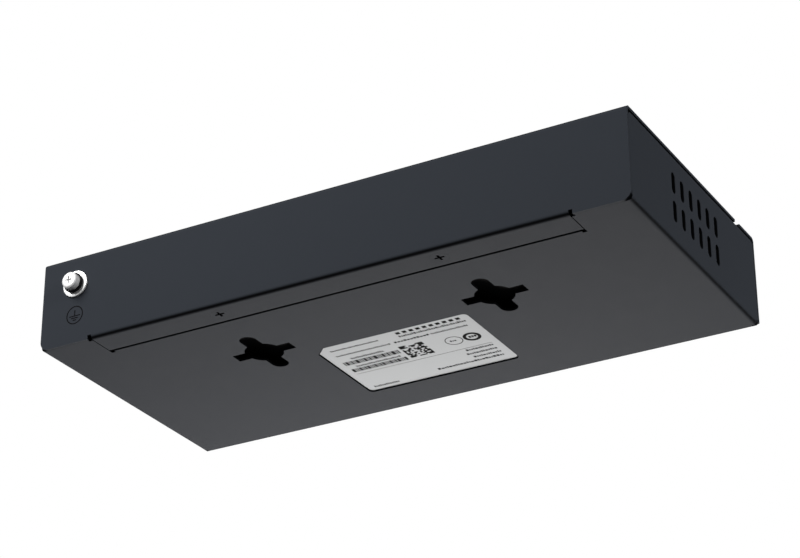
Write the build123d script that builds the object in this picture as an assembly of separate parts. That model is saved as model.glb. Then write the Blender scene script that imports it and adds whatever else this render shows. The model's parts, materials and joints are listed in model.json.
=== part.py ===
from build123d import *
import os
from math import floor

# A small metal ethernet switch in millimetres: X runs across the front, Y from the front
# panel (negative) to the rear wall (positive), and Z up from the underside of the tray.

os.makedirs("parts", exist_ok=True)

# Housing
length = 187.0  # across the front
depth = 87.5  # front panel to rear wall
height = 28.0
sheet = 0.8  # steel of the tray and of the cover
inner_bend = 0.5  # inside radius of every fold
rear_corner_round = 2.7  # lower corners of the rear wall
panel_notch = 0.8  # radius of the hollow at the lower corners of the front panel
end_wall_round = 1.5  # upper corners of the end walls
rear_seam = 0.05  # tray short of the cover's rear wall
front_seam = 0.2  # end walls short of the front panel
top_gap = 0.8  # end walls below the cover plate
lap = 0.1  # clearance where one sheet lies over the other
slip = 0.15  # clearance round a piece that sits in a window or a hole
fold_slit = 0.45  # slit between the front fold and an end fold

# Front lip of the tray and the tongue of the cover under it
lip_depth = 13.3
lip_notch_x = 3.0
lip_notch_y = 2.85
lip_notch_round = 1.0
tongue_reach = 6.0  # overlap under the lip
tongue_inset = 5.0  # tongue shorter than the housing at each end

# Strip of the cover that folds under the tray, and the stepped ledge that it lies on
strip_length = 151.2
strip_depth = 9.35
strip_side_gap = 0.3
strip_front_gap = 0.95
fold_relief_width = 1.2
step_run = 0.3  # slope of a stepped sheet
step_round = 0.25
step_root = 2.0  # overlap of a stepped sheet with its plate
step_lag = 0.55  # inner bends of a step behind the outer ones
ledge_inset = 1.0
ledge_rear_gap = 1.4
corner_relief = 0.8
boss_radius = 2.5
boss_height = 1.5

# Screws that close the housing
cover_screw_spacing = 70.0
cover_screw_from_rear = 5.05
cover_screw_radius = 1.5
cover_screw_length = 4.0
cover_head_radius = 2.7
cover_recess_width = 3.0
cover_recess_depth = 1.3
recess_taper = 8.0  # degrees, walls of a cross recess
recess_arm = 0.75  # width of the arms of a cross recess
seat_gap = 0.03  # round a countersunk head

# Vents in both end walls
vent_columns = 6
vent_pitch = 5.85
vent_width = 2.4
vent_length = 6.4
vent_row_pitch = 8.7

# Cross-shaped wall holes
cross_spacing = 75.0
cross_from_rear = 32.45
cross_radius = 5.75
cross_slot_length = 22.5
cross_slot_width = 5.2
cross_arm_length = 19.2
cross_arm_width = 4.1

# Recess for the label, and the label in it
label_length = 50.0
label_width = 34.0
label_from_front = 31.75  # middle of the recess behind the front panel
label_chamfer = 3.3
label_round = 1.5
recess_depth = 0.5
recess_wall = 0.7  # how much wider the raised pad is than the recess under it
label_margin = 0.3
label_thickness = 0.12

# Ground point on the rear wall
ground_from_end = 11.5
ground_height = 18.8
ground_thread_radius = 1.5
ground_screw_length = 8.0
ground_head_radius = 2.75
ground_head_height = 2.0
ground_recess_width = 2.9
ground_recess_depth = 1.4
ground_head_rim = 1.1  # straight part of the head above its seat
ground_crown_radius = 1.8
flat_washer_radius = 4.0
flat_washer_thickness = 0.8
lock_washer_radius = 2.75
lock_washer_thickness = 0.9
lock_washer_split = 0.7
lock_washer_slant = 30.0  # degrees
ground_nut_radius = 3.2
ground_nut_thickness = 2.5

# Circuit board on its standoffs, with the film under it
standoff_height = 3.75
standoff_radius = 2.9
standoff_inset = 6.5  # from the end walls' outer face
standoff_floor = 0.4  # left under the blind bore
thread_gap = 0.05
film_thickness = 0.25
film_margin = 1.0
film_from_front = 17.0
board_thickness = 1.6
board_end_gap = 1.5
board_front_gap = 1.25
board_rear_gap = 2.75
board_round = 1.5
board_screw_radius = 1.5
board_screw_length = 5.0
board_head_radius = 2.8
board_head_height = 1.9

# Gangs of jacks on the front
port_pitch = 14.0
uplink_count = 2
jack_width = 11.8
jack_height = 6.8
jack_depth = 13.0
key_width = 6.2
key_height = 1.6
catch_width = 3.4
catch_height = 0.8
gang_floor = 1.2
gang_roof = 2.2
gang_side = 1.6
gang_rear = 1.2
gang_proud = 0.3
gang_gap = 3.5
shield_sheet = 0.25
shield_gap = 0.1
power_zone = 17.0  # room for the power lamp at one end of the front
inlet_zone = 16.0  # room for the power inlet at the other end

# Springs of a jack and the strip that holds them
wire_count = 8
wire_pitch = 1.02
wire_width = 0.45
wire_thickness = 0.3
wire_ceiling_gap = 0.35
wire_fold_back = 3.6
wire_tip_back = 10.2
wire_tip_drop = 3.6
wire_fold_drop = 0.45
carrier_depth = 3.0
carrier_groove = 0.5

# Power inlet
inlet_width = 9.2
inlet_height = 11.4
inlet_depth = 12.5
inlet_nose_radius = 4.0
inlet_bore_radius = 3.2
inlet_bore_depth = 10.0
inlet_axis_above_board = 6.4
inlet_pin_radius = 1.05
inlet_pin_recess = 1.2
inlet_pin_root = 2.0  # held in the body behind the bore
inlet_pin_chamfer = 0.5
inlet_floor = 1.0  # under the sprung contact
inlet_slot_front = 3.0  # slot for the contact, behind the panel's face
inlet_tip_front = 4.0  # free end of the contact, behind the panel's face
inlet_bend_front = 8.0  # where the contact rises, behind the panel's face
inlet_touch_front = 5.0  # where the contact touches a plug, behind the panel's face
inlet_tip_drop = 0.5
inlet_spring_width = 2.6
inlet_spring_thickness = 0.3

# Lamps and their light pipes
pipe_width = 2.4
pipe_height = 1.3
pipe_leg_behind = 2.2  # legs behind the shields
pipe_proud = 0.2
lamp_length = 2.0
lamp_width = 1.25
lamp_height = 0.8
lamp_gap = 0.2

# Parts on the board behind the jacks
coil_box_pitch = 29.0
coil_box_length = 22.0
coil_box_width = 9.0
coil_box_height = 5.6
coil_box_behind = 4.0
lead_count = 6
lead_width = 0.8
lead_thickness = 0.3
lead_reach = 1.6
lead_knee = 0.7
switch_chip_size = 16.0
switch_chip_height = 1.1
switch_chip_x = -8.0
switch_chip_mark = 1.0  # bevel at its first corner
pad_thickness = 0.5
sink_size = 26.0
sink_base = 2.0
sink_height = 9.0
sink_fins = 8
sink_fin = 1.0
power_chip_size = 8.0
power_chip_height = 0.9
capacitor_radius = 5.0
capacitor_height = 12.5
capacitor_rim = 0.6
inductor_size = 10.0
inductor_height = 4.2
inductor_round = 1.25
rear_row_from_rear = 17.0  # middle line of the rear row of parts
rear_row_gap = 3.0
rear_row_inset = 4.0  # beside the board screws
flash_length = 5.2
flash_width = 4.0
flash_height = 1.6
flash_lead_count = 4
crystal_length = 11.0
crystal_width = 4.7
crystal_height = 3.4
fuse_length = 6.1
fuse_width = 2.6
fuse_tube_width = 2.3
fuse_cap = 1.3

# Lines that several pieces share
outer_bend = inner_bend + sheet
middle_bend = inner_bend + sheet / 2
half_length = length / 2
front = -depth / 2
rear = depth / 2
rear_inside = rear - sheet
tray_rear = rear_inside - rear_seam
end_wall_front = front + sheet + front_seam
end_wall_top = height - sheet - top_gap
lip_rear = front + lip_depth
cover_front = lip_rear + step_run + lap
step_rise = sheet + lap
through = 3 * sheet  # length of a cutter that goes through a sheet
strip_half = strip_length / 2
cut_half = strip_half + strip_side_gap
cut_front = rear - strip_depth - strip_front_gap
cover_screw_y = rear - cover_screw_from_rear
cover_head_height = cover_head_radius - cover_screw_radius
cross_y = rear - cross_from_rear
label_y = front + label_from_front
ground_x = half_length - ground_from_end
film_bottom = sheet + standoff_height
board_bottom = film_bottom + film_thickness
board_top = board_bottom + board_thickness
board_half = half_length - sheet - board_end_gap
board_front = front + sheet + board_front_gap
board_rear = rear_inside - board_rear_gap
board_screw_x = half_length - standoff_inset
rear_row_y = rear - rear_row_from_rear
rear_row_end = board_screw_x - board_head_radius - rear_row_inset

# Gangs: the front holds as many jacks as fit between the power lamp and the power inlet
gang_face = front - gang_proud
gang_height = gang_floor + catch_height + key_height + jack_height + gang_roof
gang_depth = jack_depth + gang_rear
gang_back = gang_face + gang_depth
shield_wall = shield_gap + shield_sheet
window_round = 2.5 * slip
gang_extra = jack_width - port_pitch + 2 * (gang_side + shield_wall)
uplink_width = uplink_count * port_pitch + gang_extra
front_room = length - 2 * sheet - power_zone - inlet_zone
port_count = floor((front_room - uplink_width - gang_gap - gang_extra) / port_pitch)
port_width = port_count * port_pitch + gang_extra
gangs_left = -half_length + sheet + power_zone
gangs_left += (front_room - port_width - gang_gap - uplink_width) / 2
port_middle = gangs_left + port_width / 2
uplink_middle = gangs_left + port_width + gang_gap + uplink_width / 2
inlet_x = half_length - sheet - inlet_zone / 2
jack_floor = board_top + gang_floor + catch_height + key_height
jack_ceiling = jack_floor + jack_height
carrier_front = gang_back
shield_back = carrier_front + carrier_depth + shield_wall
shield_top = board_top + gang_height + shield_wall
leg_y = shield_back + pipe_leg_behind
lip_under = height - sheet - step_rise
pipe_z = (shield_top + slip + lip_under) / 2
power_lamp_x = -half_length + sheet + power_zone / 2
coil_box_y = leg_y + coil_box_behind + coil_box_width / 2
sink_y = (coil_box_y + coil_box_width / 2 + rear_inside) / 2 + lead_reach
fuse_x = board_screw_x - board_head_radius - fuse_length
coil_box_half_row = fuse_x - fuse_length / 2 - rear_row_gap
coil_box_count = floor((2 * coil_box_half_row - coil_box_length - 2 * lead_reach) / coil_box_pitch) + 1
crystal_x = -rear_row_end + crystal_length / 2
power_chip_x = crystal_x + (crystal_length + power_chip_size) / 2 + rear_row_gap
flash_x = power_chip_x + (power_chip_size + flash_length) / 2 + rear_row_gap


def box(x0, x1, y0, y1, z0, z1):
    """A block between two corners."""
    middle = Pos((x0 + x1) / 2, (y0 + y1) / 2, (z0 + z1) / 2)
    return middle * Box(x1 - x0, y1 - y0, z1 - z0)


def folded(points):
    """Section of a sheet folded along points in the middle of its thickness."""
    return trace(FilletPolyline(*points, radius=middle_bend), line_width=sheet)


def along_x(section, half):
    """A section drawn in Y and Z, drawn out to both sides of the middle."""
    return extrude(Plane.YZ * section, amount=half, both=True)


def stepped(start, direction, run_end, base, rise):
    """Section of a sheet that steps sideways by its own thickness and runs on.

    start is where the plain plate ends, base the outer face of the plate there,
    rise the signed height of the step, and run_end where the stepped part ends.
    """
    inward = sheet if rise > 0 else -sheet
    lag = direction * step_lag
    run = direction * step_run
    root = start - direction * (step_root + abs(lag))
    points = [
        (root, base),
        (start, base),
        (start + run, base + rise),
        (run_end, base + rise),
        (run_end, base + rise + inward),
        (start + run - lag, base + rise + inward),
        (start - lag, base + inward),
        (root, base + inward),
    ]
    bends = [0, step_round, step_round, 0, 0, step_round, step_round, 0]
    return make_face(FilletPolyline(*points, radius=bends, close=True))


def cross_recess(width, depth):
    """Cross recess of a screw, opening upwards at the origin."""
    plus = Rectangle(width, recess_arm) + Rectangle(recess_arm, width)
    return extrude(plus, amount=-depth, taper=recess_taper)


def label_outline(margin):
    """The label's outline: three round corners and one cut off, set in by margin."""
    plain = Rectangle(label_length - 2 * margin, label_width - 2 * margin)
    cut_corner = plain.vertices().sort_by(lambda v: v.X + v.Y)[-1]
    cut = chamfer(cut_corner, label_chamfer)
    right_angled = [v for v in cut.vertices() if abs(abs(v.X) - label_length / 2 + margin) < 1e-6]
    corners = [v for v in right_angled if abs(abs(v.Y) - label_width / 2 + margin) < 1e-6]
    return Pos(0, label_y) * fillet(corners, label_round)


def cross_outline():
    """Both wall holes: a round middle, two rounded arms and two narrower square arms."""
    upright = Rot(0, 0, 90) * SlotOverall(cross_slot_length, cross_slot_width)
    one = Circle(cross_radius) + upright + Rectangle(cross_arm_length, cross_arm_width)
    return [Pos(side * cross_spacing / 2, cross_y) * one for side in (-1, 1)]


def rear_wall_outline():
    """Outline of the rear wall, with both lower corners round."""
    plain = Pos(0, height / 2) * Rectangle(length, height)
    return fillet(plain.vertices().sort_by(Axis.Y)[:2], rear_corner_round)


def panel_outline():
    """Outline of the front panel, with a small hollow at both lower corners."""
    plain = Pos(0, height / 2) * Rectangle(length, height)
    return plain - [Pos(side * half_length, 0) * Circle(panel_notch) for side in (-1, 1)]


def window(x, z, opening):
    """An opening through the front panel, given by its middle."""
    return extrude(Plane.XZ.offset(sheet - front) * Pos(x, z) * opening, amount=-through)


def pipe_places():
    """Where the lamps stand along the front: each jack, and the power lamp."""
    ports = [port_middle + (k - (port_count - 1) / 2) * port_pitch for k in range(port_count)]
    uplinks = [uplink_middle + (k - (uplink_count - 1) / 2) * port_pitch for k in range(uplink_count)]
    return ports, uplinks


def make_base_tray():
    """Tray: bottom with both end walls, front panel with its lip, and the stepped ledge."""
    side = half_length - sheet / 2
    floor_z = sheet / 2
    pan_section = folded([(-side, end_wall_top), (-side, floor_z), (side, floor_z), (side, end_wall_top)])
    pan = extrude(Plane.XZ.offset(-end_wall_front) * pan_section, amount=end_wall_front - tray_rear)

    panel_y = front + sheet / 2
    lip_z = height - sheet / 2
    panel_root = end_wall_front + outer_bend
    panel_section = folded([(lip_rear, lip_z), (panel_y, lip_z), (panel_y, floor_z), (panel_root, floor_z)])
    panel = along_x(panel_section, half_length)
    panel &= extrude(Plane.XZ.offset(-lip_rear) * panel_outline(), amount=lip_depth)

    corners = pan.edges().filter_by(Axis.X).sort_by(Axis.Z)[-4:]
    pan = fillet(corners, end_wall_round)
    tray = pan + panel
    for side in (-1, 1):
        slit = Box(2 * (outer_bend + fold_slit), fold_slit, 2 * outer_bend)
        tray -= Pos(side * half_length, front + outer_bend + fold_slit / 2, 0) * slit

    tray -= box(-cut_half, cut_half, cut_front, rear, 0, sheet)
    ledge_half = strip_half - ledge_inset
    ledge_rear = rear_inside - ledge_rear_gap
    tray += along_x(stepped(cut_front, 1, ledge_rear, 0, step_rise), ledge_half)
    for side in (-1, 1):
        relief_x = side * (ledge_half + cut_half) / 2
        tray -= Pos(relief_x, cut_front, 0) * Box(cut_half - ledge_half, 2 * corner_relief, through)
        tray -= Pos(side * (cut_half + fold_relief_width / 2), tray_rear, 0) * Box(
            fold_relief_width, 2 * corner_relief, through)
        boss = Cylinder(boss_radius, sheet + boss_height, align=(Align.CENTER, Align.CENTER, Align.MIN))
        hole = screw_seat() + Cylinder(cover_screw_radius + slip, 2 * height)
        place = Pos(side * cover_screw_spacing / 2, cover_screw_y, 0)
        tray = tray + place * Pos(0, 0, step_rise) * boss - place * hole

    tray += Pos(0, 0, sheet) * extrude(label_outline(-recess_wall), amount=recess_depth)
    tray -= extrude(label_outline(0), amount=recess_depth)
    for cross in cross_outline():
        tray -= extrude(cross, amount=sheet)

    slot = Rot(0, 0, 90) * SlotOverall(vent_length, vent_width)
    vents = Sketch() + [
        Pos((column - (vent_columns - 1) / 2) * vent_pitch, height / 2 + row * vent_row_pitch / 2) * slot
        for column in range(vent_columns) for row in (-1, 1)]
    tray -= along_x(vents, half_length)

    for middle, width in ((port_middle, port_width), (uplink_middle, uplink_width)):
        opening = Rectangle(width + 2 * slip, gang_height + 2 * (shield_wall + slip))
        tray -= window(middle, board_top + gang_height / 2, fillet(opening.vertices(), window_round))
    tray -= window(inlet_x, board_top + inlet_axis_above_board, Circle(inlet_nose_radius + slip))
    ports, uplinks = pipe_places()
    for x in ports + uplinks + [power_lamp_x]:
        tray -= window(x, pipe_z, Rectangle(pipe_width + 2 * slip, pipe_height + 2 * slip))

    for side in (-1, 1):
        notch_corner = Box(2 * lip_notch_x, 2 * lip_notch_y, through)
        notch_corner = Pos(side * half_length, lip_rear, height) * notch_corner
        uprights = notch_corner.edges().filter_by(Axis.Z)
        upright = uprights.sort_by(lambda e: abs(e.center().X) + e.center().Y)[0]
        tray -= fillet(upright, lip_notch_round)
    return tray


def make_top_cover():
    """Cover: top plate, rear wall and the screwed strip, with the tongue under the lip."""
    plate_z = height - sheet / 2
    wall_y = rear - sheet / 2
    plate_and_wall = folded([(cover_front, plate_z), (wall_y, plate_z), (wall_y, 0)])
    cover = along_x(plate_and_wall, half_length)
    cover &= extrude(Plane.XZ.offset(-rear) * rear_wall_outline(), amount=depth)
    relief_half = strip_half + fold_relief_width
    cover -= box(-relief_half, relief_half, rear_inside, rear, 0, outer_bend)
    strip_section = folded([(wall_y, height / 2), (wall_y, sheet / 2), (rear - strip_depth, sheet / 2)])
    cover += along_x(strip_section, strip_half)
    tongue_front = lip_rear - tongue_reach
    tongue = stepped(cover_front, -1, tongue_front, height, -step_rise)
    cover += along_x(tongue, half_length - tongue_inset)
    for side in (-1, 1):
        place = Pos(side * cover_screw_spacing / 2, cover_screw_y, 0)
        cover -= place * screw_seat()
        cover -= place * Cylinder(cover_screw_radius + slip, through)
    cover -= ground_at(rear_inside) * Cylinder(ground_thread_radius + slip, through)
    return cover


def screw_seat():
    """The countersink of a cover screw, which opens downwards at the origin."""
    seat = Cone(cover_head_radius + seat_gap, cover_screw_radius + seat_gap, cover_head_height)
    return Pos(0, 0, cover_head_height / 2) * seat


def ground_at(y):
    """The ground screw's axis at y, pointing out of the rear wall."""
    return Pos(ground_x, y, ground_height) * Rot(-90, 0, 0)


def make_cover_screws():
    """Two countersunk screws, head down and flush with the strip."""
    shank = Cylinder(cover_screw_radius, cover_screw_length, align=(Align.CENTER, Align.CENTER, Align.MIN))
    head = Pos(0, 0, cover_head_height / 2) * Cone(cover_head_radius, cover_screw_radius, cover_head_height)
    screw = shank + head - Rot(180, 0, 0) * cross_recess(cover_recess_width, cover_recess_depth)
    return [Pos(side * cover_screw_spacing / 2, cover_screw_y, 0) * screw for side in (-1, 1)]


def make_ground_screw():
    """Ground screw with a crowned head and a cross recess, through both washers, the wall and the nut."""
    profile = Polyline(
        (0, -ground_screw_length), (ground_thread_radius, -ground_screw_length), (ground_thread_radius, 0),
        (ground_head_radius, 0), (ground_head_radius, ground_head_rim),
        (ground_crown_radius, ground_head_height), (0, ground_head_height), close=True)
    screw = revolve(Plane.XZ * make_face(profile), Axis.Z)
    screw -= Pos(0, 0, ground_head_height) * cross_recess(ground_recess_width, ground_recess_depth)
    seat = rear + flat_washer_thickness + lock_washer_thickness
    return ground_at(seat) * screw


def washer(radius, bore, thickness):
    """A flat ring that stands on the origin plane."""
    return extrude(Circle(radius) - Circle(bore), amount=thickness)


def make_ground_flat_washer():
    """Flat washer against the rear wall."""
    return ground_at(rear) * washer(flat_washer_radius, ground_thread_radius + slip, flat_washer_thickness)


def make_ground_lock_washer():
    """Split ring between the flat washer and the head, open at the top."""
    ring = washer(lock_washer_radius, ground_thread_radius + slip, lock_washer_thickness)
    cut = Box(lock_washer_split, lock_washer_radius, 4 * lock_washer_thickness)
    ring -= Pos(0, -lock_washer_radius, 0) * Rot(0, lock_washer_slant, 0) * cut
    return ground_at(rear + flat_washer_thickness) * ring


def make_ground_nut():
    """Round nut pressed on the inner face of the rear wall."""
    nut = washer(ground_nut_radius, ground_thread_radius + lap, ground_nut_thickness)
    return ground_at(rear_inside - ground_nut_thickness) * nut


def make_rating_label():
    """Label that lies in its recess under the tray."""
    sheet_of_label = extrude(label_outline(label_margin), amount=-label_thickness)
    return Pos(0, 0, recess_depth) * sheet_of_label


def board_screw_places():
    """Where the board is screwed down: two places at the rear and two behind the jacks."""
    front_row = leg_y + pipe_height / 2 + board_head_radius
    rear_row = board_rear - standoff_radius - film_margin - board_round
    return [Pos(side * board_screw_x, y, 0) for side in (-1, 1) for y in (front_row, rear_row)]


def make_board_standoffs():
    """Four bushes on the floor of the tray, with a blind bore each."""
    bush = Cylinder(standoff_radius, standoff_height, align=(Align.CENTER, Align.CENTER, Align.MIN))
    bore = Pos(0, 0, standoff_height) * Cylinder(
        board_screw_radius + thread_gap, standoff_height - standoff_floor,
        align=(Align.CENTER, Align.CENTER, Align.MAX))
    return [place * Pos(0, 0, sheet) * (bush - bore) for place in board_screw_places()]


def make_insulating_film():
    """Film between the board and its standoffs, clear of the soldered jacks."""
    film = box(-board_half + film_margin, board_half - film_margin, front + film_from_front,
               board_rear - film_margin, film_bottom, board_bottom)
    for place in board_screw_places():
        film -= place * Cylinder(board_screw_radius + slip, 2 * height)
    return film


def make_circuit_board():
    """Printed board with its screw holes."""
    middle_y = (board_front + board_rear) / 2
    outline = Pos(0, middle_y) * Rectangle(2 * board_half, board_rear - board_front)
    outline = fillet(outline.vertices(), board_round)
    for place in board_screw_places():
        outline -= place * Circle(board_screw_radius + slip)
    return Pos(0, 0, board_bottom) * extrude(outline, amount=board_thickness)


def make_board_screws():
    """Four cheese head screws that hold the board and the film on the standoffs."""
    head = Cylinder(board_head_radius, board_head_height, align=(Align.CENTER, Align.CENTER, Align.MIN))
    shank = Cylinder(board_screw_radius, board_screw_length, align=(Align.CENTER, Align.CENTER, Align.MAX))
    screw = head + shank
    return [place * Pos(0, 0, board_top) * screw for place in board_screw_places()]


def gang_housing(middle, places, width):
    """Moulded housing of a gang: one keyed cavity and one rear window for each jack."""
    half = width / 2 - shield_wall
    housing = box(middle - half, middle + half, gang_face, gang_back, board_top, board_top + gang_height)
    cavity = Pos(0, jack_height / 2) * Rectangle(jack_width, jack_height)
    cavity += Pos(0, -key_height / 2) * Rectangle(key_width, key_height)
    cavity += Pos(0, -key_height - catch_height / 2) * Rectangle(catch_width, catch_height)
    wires = wire_count * wire_pitch
    for x in places:
        at_face = Plane.XZ.offset(-gang_face) * Pos(x, jack_floor)
        housing -= extrude(at_face * cavity, amount=-jack_depth)
        slot_low = jack_ceiling - wire_ceiling_gap - 2 * wire_thickness
        slot_front = gang_back - 2 * gang_rear
        housing -= box(x - wires / 2, x + wires / 2, slot_front, gang_back, slot_low, jack_ceiling)
    return housing


def gang_shield(middle, width):
    """Folded shield round the top, the ends and the back of a gang."""
    half = width / 2
    shell = box(middle - half, middle + half, gang_face, shield_back, board_top, shield_top)
    inside = box(middle - half + shield_sheet, middle + half - shield_sheet, gang_face,
                 shield_back - shield_sheet, board_top, shield_top - shield_sheet)
    return shell - inside


def gang_carrier(places, middle, width):
    """Strip behind the housing, with a shallow groove for the springs of each jack."""
    half = width / 2 - shield_wall
    strip = box(middle - half, middle + half, carrier_front, carrier_front + carrier_depth,
                board_top, board_top + gang_height)
    wires = wire_count * wire_pitch
    for x in places:
        strip -= box(x - wires / 2, x + wires / 2, carrier_front, carrier_front + carrier_groove,
                     board_top, jack_ceiling)
    return strip


def jack_springs(x):
    """The contact springs of one jack, from their feet on the board to their free ends."""
    run_z = jack_ceiling - wire_ceiling_gap
    rise_y = carrier_front + wire_thickness / 2
    fold = (gang_face + wire_fold_back, run_z)
    tip = (gang_face + wire_tip_back, jack_ceiling - wire_tip_drop)
    points = [
        (rise_y, board_top),
        (rise_y, run_z),
        fold,
        (fold[0] - wire_thickness, run_z - wire_fold_drop),
        tip,
    ]
    section = trace(Polyline(*points), line_width=wire_thickness)
    spring = extrude(Plane.YZ * section, amount=wire_width / 2, both=True)
    return [Pos(x + (k - (wire_count - 1) / 2) * wire_pitch, 0, 0) * spring for k in range(wire_count)]


def inlet_frame():
    """The power inlet's axis on the front panel, pointing out of it."""
    return Pos(inlet_x, front, board_top + inlet_axis_above_board) * Rot(90, 0, 0)


def make_inlet_body():
    """Moulded body of the power inlet, with its nose through the panel."""
    back = front + sheet + slip + inlet_depth
    body = box(inlet_x - inlet_width / 2, inlet_x + inlet_width / 2, front + sheet + slip, back,
               board_top, board_top + inlet_height)
    nose = Cylinder(inlet_nose_radius, 2 * sheet + slip, align=(Align.CENTER, Align.CENTER, Align.MAX))
    bore = Cylinder(inlet_bore_radius, inlet_bore_depth, align=(Align.CENTER, Align.CENTER, Align.MAX))
    body = body + inlet_frame() * nose - inlet_frame() * bore
    pin_hole = Cylinder(inlet_pin_radius + thread_gap, inlet_bore_depth + inlet_pin_root, align=(
        Align.CENTER, Align.CENTER, Align.MAX))
    body -= inlet_frame() * pin_hole
    slot_half = inlet_spring_width / 2 + lap
    slot_top = board_top + inlet_axis_above_board
    body -= box(inlet_x - slot_half, inlet_x + slot_half, front + inlet_slot_front, back,
                board_top + inlet_floor, slot_top)
    return body


def make_inlet_pin():
    """Round centre pin of the power inlet."""
    pin_length = inlet_bore_depth + inlet_pin_root - inlet_pin_recess
    pin = Cylinder(inlet_pin_radius, pin_length, align=(Align.CENTER, Align.CENTER, Align.MAX))
    pin = chamfer(pin.edges().filter_by(GeomType.CIRCLE).sort_by(Axis.Z)[-1], inlet_pin_chamfer)
    return inlet_frame() * Pos(0, 0, -inlet_pin_recess) * pin


def make_inlet_spring():
    """Sprung contact along the floor of the inlet's bore."""
    axis_z = board_top + inlet_axis_above_board
    low = board_top + inlet_floor + inlet_spring_thickness / 2
    back = front + sheet + slip + inlet_depth - inlet_spring_thickness
    points = [
        (back, low + lap),
        (front + inlet_bend_front, low + lap),
        (front + inlet_touch_front, axis_z - inlet_bore_radius),
        (front + inlet_tip_front, axis_z - inlet_bore_radius - inlet_tip_drop),
    ]
    section = trace(Polyline(*points), line_width=inlet_spring_thickness)
    spring = extrude(Plane.YZ * section, amount=inlet_spring_width / 2, both=True)
    return Pos(inlet_x, 0, 0) * spring


def light_pipe(places):
    """Clear moulding: a leg over each lamp that turns forward through the panel, and a tie."""
    bottom = board_top + lamp_height + lamp_gap
    half = pipe_height / 2
    nose = front - pipe_proud
    outline = Polyline(
        (nose, pipe_z - half), (leg_y - half, pipe_z - half), (leg_y - half, bottom),
        (leg_y + half, bottom), (leg_y + half, pipe_z - half), (leg_y - half, pipe_z + half),
        (nose, pipe_z + half), close=True)
    finger = extrude(Plane.YZ * make_face(outline), amount=pipe_width / 2, both=True)
    pipe = Part() + [Pos(x, 0, 0) * finger for x in places]
    if len(places) > 1:
        tie_y = (gang_face + shield_back) / 2
        pipe += box(places[0], places[-1], tie_y - half, tie_y + half, pipe_z - half, pipe_z + half)
    return pipe


def make_status_lamps():
    """One small lamp on the board under each leg of the light pipes."""
    ports, uplinks = pipe_places()
    places = ports + uplinks + [power_lamp_x]
    half_x = lamp_length / 2
    half_y = lamp_width / 2
    return [box(x - half_x, x + half_x, leg_y - half_y, leg_y + half_y, board_top, board_top + lamp_height)
            for x in places]


def gull_leads(body_half, tall):
    """Section of the bent leads on both sides of a moulded part, drawn in Y and Z."""
    sections = Sketch()
    mid_z = tall / 2
    half = lead_thickness / 2
    for side in (-1, 1):
        knee = body_half + lead_knee
        points = [
            (side * (body_half - half), mid_z),
            (side * knee, mid_z),
            (side * knee, half),
            (side * (body_half + lead_reach), half),
        ]
        sections += trace(Polyline(*points), line_width=lead_thickness)
    return sections


def leaded_part(long, wide, tall, count, pitch):
    """A moulded part with bent leads on its two long sides, standing on the origin plane."""
    body = Box(long, wide, tall - 2 * lead_thickness, align=(Align.CENTER, Align.CENTER, Align.MAX))
    top_edges = body.edges().filter_by(Axis.X).sort_by(Axis.Z)[-2:]
    body = Pos(0, 0, tall) * chamfer(top_edges, lead_thickness)
    lead = extrude(Plane.YZ * gull_leads(wide / 2, tall), amount=min(lead_width, pitch / 2) / 2, both=True)
    return body + [Pos((k - (count - 1) / 2) * pitch, 0, 0) * lead for k in range(count)]


def make_switch_chip():
    """Flat square package of the switch chip."""
    chip = flat_package(switch_chip_size, switch_chip_size, switch_chip_height)
    chip = chamfer(chip.edges().filter_by(Axis.Z).sort_by(Axis.X)[0], switch_chip_mark)
    return Pos(switch_chip_x, sink_y, board_top) * chip


def make_thermal_pad():
    """Soft pad between the chip and its heat sink."""
    pad = flat_package(switch_chip_size, switch_chip_size, pad_thickness)
    return Pos(switch_chip_x, sink_y, board_top + switch_chip_height) * pad


def make_heat_sink():
    """Extruded heat sink: a base with a row of fins."""
    section = Pos(0, sink_base / 2) * Rectangle(sink_size, sink_base)
    pitch = (sink_size - sink_fin) / (sink_fins - 1)
    for k in range(sink_fins):
        fin_x = (k - (sink_fins - 1) / 2) * pitch
        section += Pos(fin_x, sink_height / 2) * Rectangle(sink_fin, sink_height)
    sink = extrude(Plane.XZ * section, amount=min(sink_size, rear_room()) / 2, both=True)
    return Pos(switch_chip_x, sink_y, board_top + switch_chip_height + pad_thickness) * sink


def rear_room():
    """Free depth on the board behind the coil boxes."""
    return board_rear - (coil_box_y + coil_box_width / 2 + 2 * lead_reach + film_margin)


def capacitor():
    """Standing can with a bevelled rim."""
    can = Cylinder(capacitor_radius, capacitor_height, align=(Align.CENTER, Align.CENTER, Align.MIN))
    return chamfer(can.edges().filter_by(GeomType.CIRCLE).sort_by(Axis.Z)[-1], capacitor_rim)


def inductor():
    """Square moulded coil with rounded corners."""
    body = Rectangle(inductor_size, inductor_size)
    body = fillet(body.vertices(), inductor_round)
    return extrude(body, amount=inductor_height)


def rear_row():
    """Parts of the rear row with their places along X, from the inlet's end to the lamp's end."""
    step = inductor_size + rear_row_gap
    start = rear_row_end - capacitor_radius
    return {
        "input_capacitor_1": (start, capacitor()),
        "input_capacitor_2": (start - step, capacitor()),
        "buck_inductor_1": (start - 2 * step, inductor()),
        "buck_inductor_2": (start - 3 * step, inductor()),
        "buck_inductor_3": (start - 4 * step, inductor()),
    }


def flat_package(long, wide, tall):
    """A plain moulded package that stands on the board."""
    return Box(long, wide, tall, align=(Align.CENTER, Align.CENTER, Align.MIN))


def make_crystal():
    """Metal can with round ends."""
    return extrude(SlotOverall(crystal_length, crystal_width), amount=crystal_height)


def make_fuse():
    """Square ceramic tube with a metal cap on each end."""
    tube = Box(fuse_length - fuse_cap, fuse_tube_width, fuse_tube_width)
    cap = Box(fuse_cap, fuse_width, fuse_width)
    ends = [Pos(side * (fuse_length - fuse_cap) / 2, 0, 0) * cap for side in (-1, 1)]
    return Pos(0, 0, fuse_width / 2) * (tube + ends)


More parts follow.
